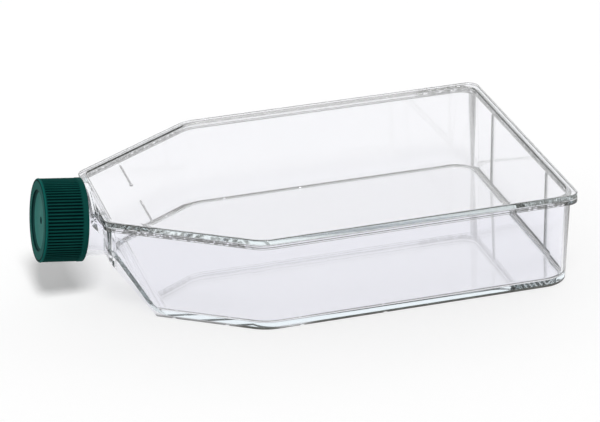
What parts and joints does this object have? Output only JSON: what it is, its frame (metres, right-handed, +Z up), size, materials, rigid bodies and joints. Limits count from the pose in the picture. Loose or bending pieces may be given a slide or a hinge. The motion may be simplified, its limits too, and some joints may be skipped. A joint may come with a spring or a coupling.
{
  "type": "cell culture flask",
  "caption": "Flat clear flask with a canted neck, pouring ramp, raised stacking rim and a ribbed plug-seal screw cap.",
  "frame": {"origin": "middle of the object's box, on the surface the foot rim stands on", "axes": "+X along the flask away from the neck and cap, +Y across, +Z up"},
  "size_m": [0.2262, 0.1394, 0.0534],
  "materials": {
    "clear_body": "clear, polished, faint lilac tint",
    "clear_plate": "clear, polished",
    "cap": "satin dark teal"
  },
  "bodies": {
    "flask": {"tray_with_neck": "clear_body", "top_plate": "clear_plate"},
    "cap": {"screw_cap": "cap"}
  },
  "joints": [
    {"name": "cap_unscrew", "type": "slide", "parent": "flask", "child": "cap", "axis": [-0.9921, 0, 0.1253], "range_m": [0, 0.025]}
  ]
}
